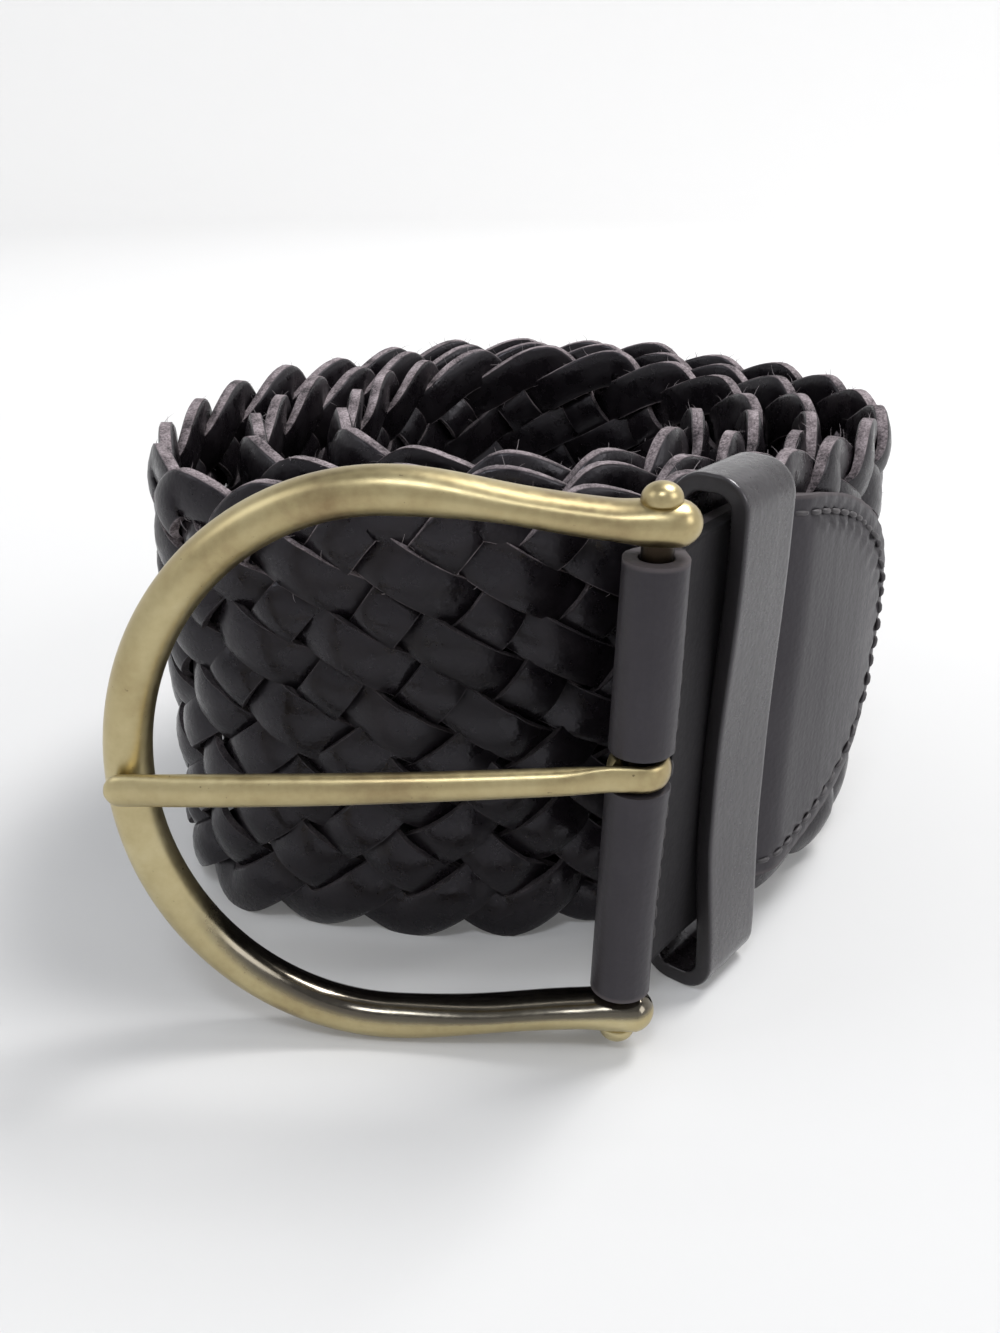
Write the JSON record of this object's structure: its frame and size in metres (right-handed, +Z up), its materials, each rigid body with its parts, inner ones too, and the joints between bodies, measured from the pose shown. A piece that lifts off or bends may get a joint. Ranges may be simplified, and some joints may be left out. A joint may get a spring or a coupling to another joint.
{
  "type": "wide braided leather belt, rolled up and standing on its edge, with a horseshoe buckle",
  "caption": "Wide dark braided leather belt rolled up on its edge, with a brass horseshoe buckle, prong and leather keeper",
  "frame": {"origin": "middle of the footprint, on the floor", "axes": "+Z up along the strap's width, -Y towards the buckle's front, +X to the right with the buckle in front"},
  "size_m": [0.1174, 0.1406, 0.0788],
  "materials": {
    "braid_leather": "semi-gloss",
    "smooth_leather": "satin",
    "keeper_leather": "semi-gloss",
    "brass": "satin antique"
  },
  "bodies": {
    "root": {"braided_strap": "braid_leather", "buckle_tab": "smooth_leather", "keeper_loop": "keeper_leather", "buckle_bar": "brass"},
    "frame": {"buckle_frame": "brass"},
    "prong": {"prong": "brass"}
  },
  "joints": [
    {"name": "frame_swing", "type": "hinge", "parent": "root", "child": "frame", "pos_m": [0.01198, -0.06599, 0.0394], "axis": [0.0296, -0.0023, 0.9996], "range_deg": [-15, 60]},
    {"name": "prong_swing", "type": "hinge", "parent": "frame", "child": "prong", "pos_m": [0.01198, -0.06599, 0.0394], "axis": [0.0296, -0.0023, 0.9996], "range_deg": [0, 85]}
  ]
}
